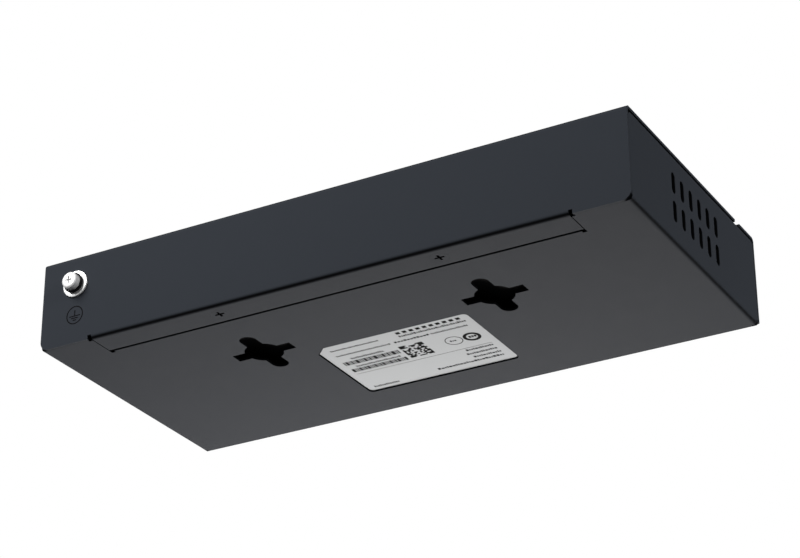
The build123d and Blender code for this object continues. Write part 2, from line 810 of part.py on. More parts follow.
def write(name, shape):
    """Write one node; a list of shapes becomes one node of separate solids."""
    whole = Compound(children=list(shape)) if isinstance(shape, list) else shape
    whole.label = name
    export_step(whole, "parts/" + name + ".step")


ports, uplinks = pipe_places()
write("base_tray", make_base_tray())
write("top_cover", make_top_cover())
write("cover_screws", make_cover_screws())
write("ground_screw", make_ground_screw())
write("ground_flat_washer", make_ground_flat_washer())
write("ground_lock_washer", make_ground_lock_washer())
write("ground_nut", make_ground_nut())
write("rating_label", make_rating_label())
write("board_standoffs", make_board_standoffs())
write("insulating_film", make_insulating_film())
write("circuit_board", make_circuit_board())
write("board_screws", make_board_screws())
write("port_housing", gang_housing(port_middle, ports, port_width))
write("port_shield", gang_shield(port_middle, port_width))
write("port_spring_carrier", gang_carrier(ports, port_middle, port_width))
write("uplink_housing", gang_housing(uplink_middle, uplinks, uplink_width))
write("uplink_shield", gang_shield(uplink_middle, uplink_width))
write("uplink_spring_carrier", gang_carrier(uplinks, uplink_middle, uplink_width))
for number, x in enumerate(ports, 1):
    write(f"port_springs_{number}", jack_springs(x))
for number, x in enumerate(uplinks, 1):
    write(f"uplink_springs_{number}", jack_springs(x))
write("inlet_body", make_inlet_body())
write("inlet_pin", make_inlet_pin())
write("inlet_spring", make_inlet_spring())
write("port_light_pipe", light_pipe(ports))
write("uplink_light_pipe", light_pipe(uplinks))
write("power_light_pipe", light_pipe([power_lamp_x]))
write("status_lamps", make_status_lamps())
coil_box = leaded_part(coil_box_length, coil_box_width, coil_box_height, lead_count,
                       coil_box_length / (lead_count + 1))
for number in range(1, coil_box_count + 1):
    coil_box_x = (number - (coil_box_count + 1) / 2) * coil_box_pitch
    write(f"coil_box_{number}", Pos(coil_box_x, coil_box_y, board_top) * coil_box)
write("switch_chip", make_switch_chip())
write("thermal_pad", make_thermal_pad())
write("heat_sink", make_heat_sink())
for name, (x, shape) in rear_row().items():
    write(name, Pos(x, rear_row_y, board_top) * shape)
write("power_chip", Pos(power_chip_x, rear_row_y, board_top) * flat_package(
    power_chip_size, power_chip_size, power_chip_height))
flash_chip = leaded_part(flash_length, flash_width, flash_height, flash_lead_count,
                         flash_length / flash_lead_count)
write("flash_chip", Pos(flash_x, rear_row_y, board_top) * flash_chip)
write("crystal_can", Pos(crystal_x, rear_row_y, board_top) * make_crystal())
write("input_fuse", Pos(fuse_x, coil_box_y, board_top) * make_fuse())
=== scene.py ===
"""Dresses a small metal ethernet switch: powder-coated folded steel, its ground point, label and jacks."""

import json
import logging
import math
from dataclasses import dataclass, field
from enum import Enum
from typing import Callable, Iterable, Iterator, Sequence

import bmesh
import bpy
from mathutils import Matrix, Vector


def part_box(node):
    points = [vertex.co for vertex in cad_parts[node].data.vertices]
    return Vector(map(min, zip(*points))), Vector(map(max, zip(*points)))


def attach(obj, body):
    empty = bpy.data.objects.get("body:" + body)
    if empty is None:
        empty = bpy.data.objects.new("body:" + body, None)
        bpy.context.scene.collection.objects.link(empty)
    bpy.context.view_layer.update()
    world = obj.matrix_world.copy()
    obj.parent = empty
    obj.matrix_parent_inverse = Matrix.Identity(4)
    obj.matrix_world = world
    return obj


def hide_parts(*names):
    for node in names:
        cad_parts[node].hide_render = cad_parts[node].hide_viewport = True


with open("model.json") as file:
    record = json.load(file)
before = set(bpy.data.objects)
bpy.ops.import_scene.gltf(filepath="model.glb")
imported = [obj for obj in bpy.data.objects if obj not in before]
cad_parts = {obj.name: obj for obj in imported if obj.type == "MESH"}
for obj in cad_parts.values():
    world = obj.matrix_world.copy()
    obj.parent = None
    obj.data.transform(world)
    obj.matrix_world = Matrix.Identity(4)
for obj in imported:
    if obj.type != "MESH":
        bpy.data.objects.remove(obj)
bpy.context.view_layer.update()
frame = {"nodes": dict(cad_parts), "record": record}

MM = 0.001
HOUSING_LOW = Vector(map(min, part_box("base_tray")[0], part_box("top_cover")[0]))
HOUSING_HIGH = Vector(map(max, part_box("base_tray")[1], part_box("top_cover")[1]))

# Depth below the housing's outer faces at which the painted shade of folds, cut edges and the inside starts, and where
# it is full
SHADE_STARTS = 0.06 * MM
SHADE_FULL = 0.28 * MM

# Textures of the finishes: layers of detail, share of the fine speckle, ends of the colour ramp,
# width of the roughness' blotches and the least roughness
DRIFT_DETAIL = 3.0
SPECKLE_DETAIL = 2.0
WANDER_DETAIL = 4.0
SPECKLE_SHARE = 0.5
RAMP_ENDS = (0.3, 0.7)
WANDER_SIZE = 6 * MM
LEAST_ROUGHNESS = 0.02

# Facets and edges of the modelled pieces
FACING = 0.5
DISC_STEPS = 64
RING_STEPS = 48
EDGE_STEPS = 2
SHARP_FROM = math.radians(50)
SMOOTH_BELOW = math.radians(35)

# A printed mark: its block's height, and how far its outer face is drawn in and raised
MARK_TALL = 0.6
MARK_EDGE = 0.06
MARK_RISE = 0.2

FINISHES_MADE: dict[str, bpy.types.Material] = {}
log = logging.getLogger("switch")


class Surface(Enum):
    """What the fine relief of a finish looks like."""

    SMOOTH = "smooth"
    ORANGE_PEEL = "orange peel"
    BRUSHED = "brushed"
    GRAINY = "grainy"

    @property
    def detail(self) -> float:
        """Layers of detail in the relief."""
        return 2.0 if self is Surface.ORANGE_PEEL else 5.0

    @property
    def strength(self) -> float:
        """How strongly the relief shows."""
        return 0.3 if self is Surface.SMOOTH else 1.0


@dataclass(frozen=True)
class Finish:
    """One finish: its colour with a soft variation, its sheen and its fine relief.

    Sizes are in metres. drift is the width of the soft blotches, spread how much lighter and
    darker the colour gets, rough_spread how far the roughness wanders, grain the width of the
    fine texture, relief its height, brush_axis how much a brushed texture is squeezed along each
    axis, and inner_shade what is left of the colour in folds, on cut edges and inside, where shade
    is painted into the colour.
    """

    name: str
    colour: tuple[float, float, float]
    roughness: float
    metallic: float = 0.0
    surface: Surface = Surface.SMOOTH
    grain: float = 0.0006
    relief: float = 0.00001
    drift: float = 0.02
    spread: float = 0.12
    rough_spread: float = 0.08
    coat: float = 0.0
    coat_roughness: float = 0.1
    transmission: float = 0.0
    specular: float = 0.5
    ior: float = 1.5
    brush_axis: tuple[float, float, float] = (1.0, 1.0, 12.0)
    # share of the colour left where shade is painted into folds, cut edges and the inside
    inner_shade: float = 1.0

    def build(self) -> bpy.types.Material:
        """Makes the material, or gives the one made before.

        Returns:
            The material, with its nodes reading Object coordinates.
        """
        if self.name in FINISHES_MADE:
            return FINISHES_MADE[self.name]
        material = bpy.data.materials.new(self.name)
        FINISHES_MADE[self.name] = material
        material.use_nodes = True
        tree = material.node_tree
        shader = tree.nodes["Principled BSDF"]
        shader.inputs["Metallic"].default_value = self.metallic
        shader.inputs["Coat Weight"].default_value = self.coat
        shader.inputs["Coat Roughness"].default_value = self.coat_roughness
        shader.inputs["Transmission Weight"].default_value = self.transmission
        shader.inputs["Specular IOR Level"].default_value = self.specular
        shader.inputs["IOR"].default_value = self.ior
        place = tree.nodes.new("ShaderNodeTexCoord")
        stretch = tree.nodes.new("ShaderNodeMapping")
        if self.surface is Surface.BRUSHED:
            stretch.inputs["Scale"].default_value = self.brush_axis
        tree.links.new(place.outputs["Object"], stretch.inputs["Vector"])
        self._colour(tree, place, stretch, shader)
        self._roughness(tree, stretch, shader)
        self._relief(tree, stretch, shader)
        return material

    def _noise(self, tree: bpy.types.NodeTree, source: bpy.types.Node, size: float, detail: float) -> bpy.types.Node:
        """Adds a noise texture whose blotches are about size metres across.

        Args:
            tree: the material's nodes.
            source: the node whose Vector output places the noise.
            size: width of a blotch, in metres.
            detail: how many finer layers lie over it.

        Returns:
            The noise node.
        """
        noise = tree.nodes.new("ShaderNodeTexNoise")
        noise.inputs["Scale"].default_value = 1.0 / size
        noise.inputs["Detail"].default_value = detail
        tree.links.new(source.outputs["Vector"], noise.inputs["Vector"])
        return noise

    def _colour(self, tree: bpy.types.NodeTree, place: bpy.types.Node, source: bpy.types.Node,
                shader: bpy.types.Node) -> None:
        """Links a colour that drifts slowly and speckles finely.

        Args:
            tree: the material's nodes.
            place: the texture coordinates.
            source: the node that places the textures.
            shader: the surface shader.
        """
        drift = self._noise(tree, source, self.drift, DRIFT_DETAIL)
        speckle = self._noise(tree, source, self.grain, SPECKLE_DETAIL)
        both = tree.nodes.new("ShaderNodeMix")
        both.data_type = "FLOAT"
        both.inputs["Factor"].default_value = SPECKLE_SHARE
        tree.links.new(drift.outputs["Fac"], both.inputs["A"])
        tree.links.new(speckle.outputs["Fac"], both.inputs["B"])
        ramp = tree.nodes.new("ShaderNodeValToRGB")
        ramp.color_ramp.elements[0].position = RAMP_ENDS[0]
        ramp.color_ramp.elements[1].position = RAMP_ENDS[1]
        ramp.color_ramp.elements[0].color = (*(c * (1 - self.spread) for c in self.colour), 1.0)
        ramp.color_ramp.elements[1].color = (*(min(1.0, c * (1 + self.spread)) for c in self.colour), 1.0)
        tree.links.new(both.outputs["Result"], ramp.inputs["Fac"])
        colour = ramp.outputs["Color"]
        # Painted shade: folds, cut edges and the inside get darker with depth, standing in for the shade that falls
        # there
        if self.inner_shade < 1.0:
            colour = self._shade_inside(tree, place, colour)
        tree.links.new(colour, shader.inputs["Base Color"])

    def _shade_inside(self, tree: bpy.types.NodeTree, place: bpy.types.Node,
                      colour: bpy.types.NodeSocket) -> bpy.types.NodeSocket:
        """Paints shade into a colour, darker with the depth below the housing's outer faces.

        Args:
            tree: the material's nodes.
            place: the texture coordinates.
            colour: the colour on the outer faces.

        Returns:
            The colour with painted shade in its folds, on cut edges and inside.
        """
        centred = tree.nodes.new("ShaderNodeVectorMath")
        centred.operation = "SUBTRACT"
        centred.inputs[1].default_value = (HOUSING_LOW + HOUSING_HIGH) / 2
        reach = tree.nodes.new("ShaderNodeVectorMath")
        reach.operation = "ABSOLUTE"
        depth = tree.nodes.new("ShaderNodeVectorMath")
        depth.operation = "SUBTRACT"
        depth.inputs[0].default_value = (HOUSING_HIGH - HOUSING_LOW) / 2
        axes = tree.nodes.new("ShaderNodeSeparateXYZ")
        tree.links.new(place.outputs["Object"], centred.inputs[0])
        tree.links.new(centred.outputs["Vector"], reach.inputs[0])
        tree.links.new(reach.outputs["Vector"], depth.inputs[1])
        tree.links.new(depth.outputs["Vector"], axes.inputs["Vector"])
        least = axes.outputs["X"]
        for axis in ("Y", "Z"):
            smaller = tree.nodes.new("ShaderNodeMath")
            smaller.operation = "MINIMUM"
            tree.links.new(least, smaller.inputs[0])
            tree.links.new(axes.outputs[axis], smaller.inputs[1])
            least = smaller.outputs["Value"]
        inside = tree.nodes.new("ShaderNodeMapRange")
        inside.inputs["From Min"].default_value = SHADE_STARTS
        inside.inputs["From Max"].default_value = SHADE_FULL
        tree.links.new(least, inside.inputs["Value"])
        # Mix towards the painted shade colour, the finish's colour times inner_shade
        mix = tree.nodes.new("ShaderNodeMix")
        mix.data_type = "RGBA"
        mix.inputs["B"].default_value = (*(c * self.inner_shade for c in self.colour), 1.0)
        tree.links.new(inside.outputs["Result"], mix.inputs["Factor"])
        tree.links.new(colour, mix.inputs["A"])
        return mix.outputs["Result"]

    def _roughness(self, tree: bpy.types.NodeTree, source: bpy.types.Node, shader: bpy.types.Node) -> None:
        """Links a roughness that wanders about its middle value.

        Args:
            tree: the material's nodes.
            source: the node that places the textures.
            shader: the surface shader.
        """
        wander = self._noise(tree, source, WANDER_SIZE, WANDER_DETAIL)
        span = tree.nodes.new("ShaderNodeMapRange")
        span.inputs["To Min"].default_value = max(LEAST_ROUGHNESS, self.roughness - self.rough_spread)
        span.inputs["To Max"].default_value = min(1.0, self.roughness + self.rough_spread)
        tree.links.new(wander.outputs["Fac"], span.inputs["Value"])
        tree.links.new(span.outputs["Result"], shader.inputs["Roughness"])

    def _relief(self, tree: bpy.types.NodeTree, source: bpy.types.Node, shader: bpy.types.Node) -> None:
        """Links the fine relief.

        Args:
            tree: the material's nodes.
            source: the node that places the textures.
            shader: the surface shader.
        """
        fine = self._noise(tree, source, self.grain, self.surface.detail)
        bump = tree.nodes.new("ShaderNodeBump")
        bump.inputs["Distance"].default_value = self.relief
        bump.inputs["Strength"].default_value = self.surface.strength
        tree.links.new(fine.outputs["Fac"], bump.inputs["Height"])
        tree.links.new(bump.outputs["Normal"], shader.inputs["Normal"])


# Both coats carry painted shade: their folds, cut edges and inside are darkened to 0.12 of the colour
POWDER_COAT = Finish("powder_coat", (0.0315, 0.0360, 0.0440), 0.80, surface=Surface.ORANGE_PEEL, grain=0.0005,
                     relief=0.000008, drift=0.05, spread=0.02, rough_spread=0.02, specular=0.06, inner_shade=0.12)
SCREW_COAT = Finish("screw_coat", (0.0315, 0.0360, 0.0440), 0.80, grain=0.0003, spread=0.04, rough_spread=0.03,
                    specular=0.06, inner_shade=0.12)
BLUED_STEEL = Finish("blued_steel", (0.008, 0.008, 0.009), 0.7, grain=0.0003, specular=0.06)
BRIGHT_NICKEL = Finish("bright_nickel", (0.88, 0.88, 0.88), 0.36, metallic=0.3, surface=Surface.BRUSHED,
                       grain=0.0004, relief=0.000002, spread=0.05, rough_spread=0.05)
LABEL_FILM = Finish("printed_film", (0.493, 0.521, 0.547), 0.7, drift=0.03, spread=0.015, grain=0.0006,
                    relief=0.000004, rough_spread=0.03, specular=0.06)
PRINT_INK = Finish("print_ink", (0.006, 0.006, 0.0065), 0.85, spread=0.25, grain=0.0004, specular=0.02)
SIGN_INK = Finish("sign_ink", (0.004, 0.004, 0.005), 0.8, spread=0.2, specular=0.05)
PORT_INK = Finish("port_ink", (0.50, 0.51, 0.52), 0.5, spread=0.08)
BLACK_FILM = Finish("black_polyester", (0.003, 0.003, 0.0035), 0.7, specular=0.05)
SOLDER_MASK = Finish("solder_mask", (0.010, 0.075, 0.035), 0.3, coat=0.4, grain=0.0012, spread=0.18)
MOULDED_NYLON = Finish("moulded_nylon", (0.016, 0.016, 0.017), 0.48, surface=Surface.GRAINY, relief=0.000006)
TIN_SHEET = Finish("tin_sheet", (0.66, 0.66, 0.65), 0.3, metallic=1.0, surface=Surface.BRUSHED, relief=0.000005,
                   brush_axis=(12.0, 1.0, 1.0))
GOLD_SPRING = Finish("gold_spring", (0.83, 0.60, 0.24), 0.2, metallic=1.0)
CLEAR_ACRYLIC = Finish("cast_acrylic", (0.60, 0.63, 0.62), 0.45, transmission=0.6, specular=0.15, ior=1.49, spread=0.02)
LAMP_RESIN = Finish("frosted_resin", (0.72, 0.74, 0.60), 0.3, spread=0.05)
CHIP_RESIN = Finish("moulded_epoxy", (0.022, 0.022, 0.024), 0.6, surface=Surface.GRAINY, grain=0.0003,
                    relief=0.000008)
SILICONE_PAD = Finish("silicone_pad", (0.40, 0.45, 0.53), 0.75, surface=Surface.GRAINY)
ANODISED_FINS = Finish("anodised_fins", (0.030, 0.030, 0.033), 0.4, metallic=0.7, surface=Surface.BRUSHED)
DRAWN_CAN = Finish("drawn_can", (0.60, 0.60, 0.61), 0.3, metallic=1.0, surface=Surface.BRUSHED)
IRON_POWDER = Finish("iron_powder", (0.10, 0.10, 0.105), 0.7, surface=Surface.GRAINY, grain=0.0004,
                     relief=0.00002, spread=0.25)
PLATED_CAN = Finish("plated_can", (0.72, 0.72, 0.72), 0.18, metallic=1.0)
FUSE_CERAMIC = Finish("white_ceramic", (0.72, 0.71, 0.67), 0.5, spread=0.05)

NODE_FINISHES: dict[str, Finish] = {
    "housing_paint": POWDER_COAT,
    "black_screw": SCREW_COAT,
    "nickel": BRIGHT_NICKEL,
    "label_film": LABEL_FILM,
    "black_film": BLACK_FILM,
    "board_laminate": SOLDER_MASK,
    "jack_plastic": MOULDED_NYLON,
    "shield_tin": TIN_SHEET,
    "spring_gold": GOLD_SPRING,
    "clear_acrylic": CLEAR_ACRYLIC,
    "lamp_resin": LAMP_RESIN,
    "chip_resin": CHIP_RESIN,
    "soft_pad": SILICONE_PAD,
    "sink_aluminium": ANODISED_FINS,
    "capacitor_can": DRAWN_CAN,
    "coil_resin": IRON_POWDER,
    "crystal_steel": PLATED_CAN,
    "fuse_ceramic": FUSE_CERAMIC,
}


def select_only(piece: bpy.types.Object) -> None:
    """Deselects everything, then selects one object and makes it active."""
    bpy.ops.object.select_all(action="DESELECT")
    piece.select_set(True)
    bpy.context.view_layer.objects.active = piece


def settle(piece: bpy.types.Object) -> None:
    """Moves an object's place into its mesh, so that the object sits at the origin."""
    select_only(piece)
    bpy.ops.object.transform_apply(location=True, rotation=True, scale=True)


def coat(piece: bpy.types.Object, finish: Finish) -> None:
    """Gives every material slot of a piece the same finish."""
    material = finish.build()
    piece.data.materials.clear()
    piece.data.materials.append(material)


def join_all(parts: Sequence[bpy.types.Object], name: str) -> bpy.types.Object:
    """Joins several objects into one that sits at the origin.

    Args:
        parts: the objects, at least one.
        name: the name of the result.

    Returns:
        The joined object.
    """
    bpy.ops.object.select_all(action="DESELECT")
    for part in parts:
        part.select_set(True)
    bpy.context.view_layer.objects.active = parts[0]
    if len(parts) > 1:
        bpy.ops.object.join()
    parts[0].name = name
    parts[0].data.name = name
    settle(parts[0])
    return parts[0]


def apply_modifier(piece: bpy.types.Object, kind: str, **settings: object) -> None:
    """Adds a modifier with its settings and applies it.

    Args:
        piece: the mesh object.
        kind: the modifier's type.
        settings: the modifier's properties.
    """
    select_only(piece)
    modifier = piece.modifiers.new(kind.lower(), kind)
    for key, value in settings.items():
        setattr(modifier, key, value)
    bpy.ops.object.modifier_apply(modifier=modifier.name)


def edit_faces(piece: bpy.types.Object, wanted: Callable[[bmesh.types.BMFace], bool]) -> None:
    """Enters edit mode with only the faces that the test wants selected.

    Args:
        piece: the mesh object.
        wanted: says for each face whether it is selected.
    """
    select_only(piece)
    bpy.ops.object.mode_set(mode="EDIT")
    bpy.ops.mesh.select_mode(type="FACE")
    bpy.ops.mesh.select_all(action="DESELECT")
    mesh = bmesh.from_edit_mesh(piece.data)
    for face in mesh.faces:
        face.select_set(wanted(face))
    bmesh.update_edit_mesh(piece.data)


def looks_up(face: bmesh.types.BMFace) -> bool:
    """Says whether a face looks along +Z."""
    return face.normal.z > FACING


def looks_down(face: bmesh.types.BMFace) -> bool:
    """Says whether a face looks along -Z."""
    return face.normal.z < -FACING


def lies_flat(face: bmesh.types.BMFace) -> bool:
    """Says whether a face looks up or down."""
    return looks_up(face) or looks_down(face)


def leave_edit() -> None:
    """Goes back to object mode."""
    bpy.ops.object.mode_set(mode="OBJECT")


def model_mark() -> bpy.types.Object:
    """Models one printed mark, a unit block whose outer face is drawn in like a drying edge.

    Returns:
        The mark, centred on the origin, to be copied.
    """
    bpy.ops.mesh.primitive_cube_add(size=1.0, scale=(1.0, 1.0, MARK_TALL))
    mark = bpy.context.object
    settle(mark)
    edit_faces(mark, lies_flat)
    bpy.ops.mesh.inset(thickness=MARK_EDGE, depth=MARK_RISE)
    leave_edit()
    return mark


def stamp(mark: bpy.types.Object, low: Sequence[float], high: Sequence[float]) -> bpy.types.Object:
    """Copies a mark, with a mesh of its own, into the space between two corners.

    Args:
        mark: the mark to copy.
        low: the lowest corner, in metres.
        high: the highest corner, in metres.

    Returns:
        The copy.
    """
    print_copy = bpy.data.objects.new(mark.name, mark.data.copy())
    bpy.context.collection.objects.link(print_copy)
    print_copy.location = [(a + b) / 2 for a, b in zip(low, high)]
    print_copy.scale = [b - a for a, b in zip(low, high)]
    return print_copy


def add_ring(centre: Sequence[float], radius: float, line: float, thickness: float) -> bpy.types.Object:
    """Adds a thin printed ring that lies in the X and Y plane.

    Args:
        centre: the middle of the ring, in metres.
        radius: its outer radius.
        line: the width of its line.
        thickness: its height along Z.

    Returns:
        The ring.
    """
    bpy.ops.mesh.primitive_circle_add(vertices=RING_STEPS, radius=radius, fill_type="NGON", location=centre)
    ring = bpy.context.object
    settle(ring)
    edit_faces(ring, lambda face: True)
    bpy.ops.mesh.inset(thickness=line, depth=0.0)
    bpy.ops.mesh.delete(type="FACE")
    leave_edit()
    apply_modifier(ring, "SOLIDIFY", thickness=thickness, offset=0.0)
    return ring


def add_disc(name: str, radius: float, tall: float) -> bpy.types.Object:
    """Adds a disc that stands on the origin.

    Args:
        name: its name.
        radius: its radius, in metres.
        tall: its height.

    Returns:
        The disc.
    """
    bpy.ops.mesh.primitive_cylinder_add(vertices=DISC_STEPS, radius=radius, depth=tall, location=(0, 0, tall / 2))
    disc = bpy.context.object
    disc.name = name
    disc.data.name = name
    settle(disc)
    return disc


def bore_through(disc: bpy.types.Object, wall: float) -> None:
    """Opens a disc into a ring, by drawing both end faces in and joining them.

    Args:
        disc: the disc.
        wall: what is left between the rim and the bore.
    """
    edit_faces(disc, lies_flat)
    bpy.ops.mesh.inset(thickness=wall, depth=0.0)
    bpy.ops.mesh.bridge_edge_loops()
    leave_edit()


def break_edges(piece: bpy.types.Object, width: float) -> None:
    """Rounds every sharp edge of a piece a little.

    Args:
        piece: the mesh object.
        width: how far each edge is taken back.
    """
    select_only(piece)
    bpy.ops.object.mode_set(mode="EDIT")
    bpy.ops.mesh.select_mode(type="EDGE")
    bpy.ops.mesh.select_all(action="DESELECT")
    bpy.ops.mesh.edges_select_sharp(sharpness=SHARP_FROM)
    bpy.ops.mesh.bevel(offset=width, segments=EDGE_STEPS, affect="EDGES")
    leave_edit()


def draw_on(rise: float, ratio: float) -> None:
    """Extrudes the selected face along Z and then scales it about the axis.

    Args:
        rise: how far it moves, signed.
        ratio: its new radius over its old one.
    """
    bpy.ops.mesh.extrude_region_move(TRANSFORM_OT_translate={"value": (0, 0, rise)})
    bpy.ops.transform.resize(value=(ratio, ratio, 1.0), center_override=(0, 0, 0))


def smooth(piece: bpy.types.Object) -> None:
    """Shades a piece smooth, apart from its sharp edges."""
    select_only(piece)
    bpy.ops.object.shade_smooth_by_angle(angle=SMOOTH_BELOW)


def cut_with(piece: bpy.types.Object, cutter: bpy.types.Object) -> None:
    """Cuts one object out of another and removes the cutter."""
    apply_modifier(piece, "BOOLEAN", operation="DIFFERENCE", object=cutter, solver="EXACT")
    bpy.data.objects.remove(cutter, do_unlink=True)


def place_on_wall(piece: bpy.types.Object, x: float, y: float, z: float) -> None:
    """Turns a piece from +Z to +Y and sets it on the rear wall at that point."""
    piece.matrix_world = Matrix.Translation((x, y, z)) @ Matrix.Rotation(-math.pi / 2, 4, "X")
    settle(piece)


def finish_piece(piece: bpy.types.Object, finish: Finish, replaced: Iterable[str] = ()) -> None:
    """Coats a new piece, lets it ride the housing, and hides the CAD nodes that it stands for.

    Args:
        piece: the new piece.
        finish: its finish.
        replaced: the CAD nodes that it stands for.
    """
    coat(piece, finish)
    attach(piece, "root")
    for node in replaced:
        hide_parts(node)
    log.info("piece %s: %d faces, %s", piece.name, len(piece.data.polygons), finish.name)


@dataclass
class CadPieces:
    """All the pieces that keep their CAD shape and get a finish."""

    finishes: dict[str, Finish] = field(default_factory=lambda: NODE_FINISHES)

    def dress(self) -> None:
        """Gives each CAD node the finish of its material slot."""
        slots = {part["node"]: part["material_slot"] for part in frame["record"]["subparts"]}
        for name, node in frame["nodes"].items():
            coat(node, self.finishes[slots[name]])
            log.info("node %s: %s", name, self.finishes[slots[name]].name)


@dataclass
class GroundPoint:
    """Ground screw with its split lock washer and flat washer on the rear wall.

    edge is what is broken off each sharp edge, ring_foot the lock washer's lower radius over its
    upper one, split_turn where its split is, from +X towards +Z, face_ratio the flat face's radius
    over the head's, shoulder the share of the crown's rise in its first step, recess_floor the
    recess' size at its floor over that far above the head, and tip_ratio how much the thread's
    end is drawn in. build finds x and z, the ground point's place on the wall.
    """

    bore: float = 1.65 * MM
    edge: float = 0.10 * MM
    plain_radius: float = 4.1 * MM
    plain_tall: float = 0.6 * MM
    ring_radius: float = 3.1 * MM
    ring_foot: float = 0.93
    ring_tall: float = 0.95 * MM
    split: float = 1.3 * MM
    slant: float = math.radians(30)
    split_turn: float = math.radians(40)
    head_radius: float = 2.5 * MM
    head_rim: float = 1.75 * MM
    face_ratio: float = 0.80
    shoulder: float = 0.75
    recess_width: float = 3.4 * MM
    recess_arm: float = 0.85 * MM
    recess_depth: float = 1.6 * MM
    recess_floor: float = 0.45
    thread_radius: float = 1.5 * MM
    thread_pitch: float = 0.5 * MM
    thread_depth: float = 0.3 * MM
    tip_ratio: float = 0.8
    x: float = field(init=False)
    z: float = field(init=False)

    def build(self) -> None:
        """Models the screw and both washers where the CAD pieces are."""
        low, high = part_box("ground_flat_washer")
        self.x = (low.x + high.x) / 2
        self.z = (low.z + high.z) / 2
        seat = low.y
        self.flat_washer(seat)
        seat += self.plain_tall
        self.lock_washer(seat)
        self.screw(seat + self.ring_tall)

    def flat_washer(self, seat: float) -> None:
        """Models the flat washer, seated at that depth."""
        piece = add_disc("ground_washer_plain", self.plain_radius, self.plain_tall)
        bore_through(piece, self.plain_radius - self.bore)
        break_edges(piece, self.edge)
        smooth(piece)
        place_on_wall(piece, self.x, seat, self.z)
        finish_piece(piece, BRIGHT_NICKEL, ["ground_flat_washer"])

    def lock_washer(self, seat: float) -> None:
        """Models the split ring, open towards the far end and up, seated at that depth."""
        piece = add_disc("ground_washer_split", self.ring_radius, self.ring_tall)
        bore_through(piece, self.ring_radius - self.bore)
        edit_faces(piece, looks_down)
        bpy.ops.transform.resize(value=(self.ring_foot, self.ring_foot, 1.0), center_override=(0, 0, 0))
        leave_edit()
        break_edges(piece, self.edge)
        bpy.ops.mesh.primitive_cube_add(size=1.0)
        cutter = bpy.context.object
        cutter.scale = (2 * self.ring_radius, self.split, 4 * self.ring_tall)
        cutter.rotation_euler = (self.slant, 0, 0)
        cutter.location = (self.ring_radius, 0, self.ring_tall / 2)
        settle(cutter)
        cutter.rotation_euler = (0, 0, -self.split_turn)
        settle(cutter)
        cut_with(piece, cutter)
        smooth(piece)
        place_on_wall(piece, self.x, seat, self.z)
        finish_piece(piece, BLUED_STEEL, ["ground_lock_washer"])

    def screw(self, seat: float) -> None:
        """Models the screw, its head with a rounded edge and a cross recess, and its thread.

        Args:
            seat: where the head meets the lock washer.
        """
        low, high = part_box("ground_screw")
        tall = high.y - seat
        piece = add_disc("ground_screw_crowned", self.head_radius, self.head_rim)
        crown = tall - self.head_rim
        middle = (1 + self.face_ratio) / 2
        edit_faces(piece, looks_up)
        draw_on(crown * self.shoulder, middle)
        draw_on(crown * (1 - self.shoulder), self.face_ratio / middle)
        leave_edit()
        self.thread(piece, self.head_radius, seat - low.y)
        cut_with(piece, self.recess(tall))
        smooth(piece)
        place_on_wall(piece, self.x, seat, self.z)
        finish_piece(piece, BRIGHT_NICKEL, ["ground_screw"])

    def thread(self, piece: bpy.types.Object, head: float, length: float) -> None:
        """Draws the head's lower face in to the shank and on through its grooves.

        Args:
            piece: the screw.
            head: the head's radius.
            length: how far the shank reaches below the head.
        """
        root = self.thread_radius - self.thread_depth
        edit_faces(piece, looks_down)
        bpy.ops.mesh.inset(thickness=head - root, depth=0.0)
        half = self.thread_pitch / 2
        grooves = int(length / self.thread_pitch) - 1
        for _ in range(grooves):
            draw_on(-half, self.thread_radius / root)
            draw_on(-half, root / self.thread_radius)
        draw_on(-(length - grooves * self.thread_pitch), self.tip_ratio)
        leave_edit()

    def recess(self, top: float) -> bpy.types.Object:
        """Models the tapered cross that cuts the recess.

        Args:
            top: height of the head's crown.

        Returns:
            The cutter, standing in the head.
        """
        arms: list[bpy.types.Object] = []
        for turn in (0.0, math.pi / 2):
            bpy.ops.mesh.primitive_cube_add(size=1.0, location=(0, 0, top))
            arm = bpy.context.object
            arm.scale = (self.recess_width, self.recess_arm, 2 * self.recess_depth)
            arm.rotation_euler = (0, 0, turn)
            settle(arm)
            edit_faces(arm, looks_down)
            bpy.ops.transform.resize(value=(self.recess_floor, self.recess_floor, 1.0))
            leave_edit()
            arms.append(arm)
        apply_modifier(arms[0], "BOOLEAN", operation="UNION", object=arms[1], solver="EXACT")
        bpy.data.objects.remove(arms[1], do_unlink=True)
        return arms[0]


@dataclass
class EarthSign:
    """Printed earth sign under the ground screw: a ring, a stroke and three bars."""

    from_end: float = 11.7 * MM
    height: float = 8.9 * MM
    radius: float = 2.9 * MM
    line: float = 0.33 * MM
    ink: float = 0.04 * MM
    stroke_top: float = 1.6 * MM
    bars: tuple[tuple[float, float], ...] = ((-0.3 * MM, 1.9 * MM), (-0.95 * MM, 1.2 * MM), (-1.6 * MM, 0.6 * MM))

    def build(self) -> None:
        """Prints the sign on the rear wall."""
        low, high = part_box("top_cover")
        mark = model_mark()
        half = self.line / 2
        parts = [add_ring((0, 0, 0), self.radius, self.line, 2 * self.ink)]
        parts.append(stamp(mark, (-half, self.bars[0][0], -self.ink), (half, self.stroke_top, self.ink)))
        for height, reach in self.bars:
            parts.append(stamp(mark, (-reach, height - half, -self.ink), (reach, height + half, self.ink)))
        bpy.data.objects.remove(mark, do_unlink=True)
        sign = join_all(parts, "earth_sign")
        sign.matrix_world = Matrix.Translation((high.x - self.from_end, high.y, self.height)) @ Matrix.Rotation(
            math.pi / 2, 4, "X")
        settle(sign)
        finish_piece(sign, SIGN_INK)


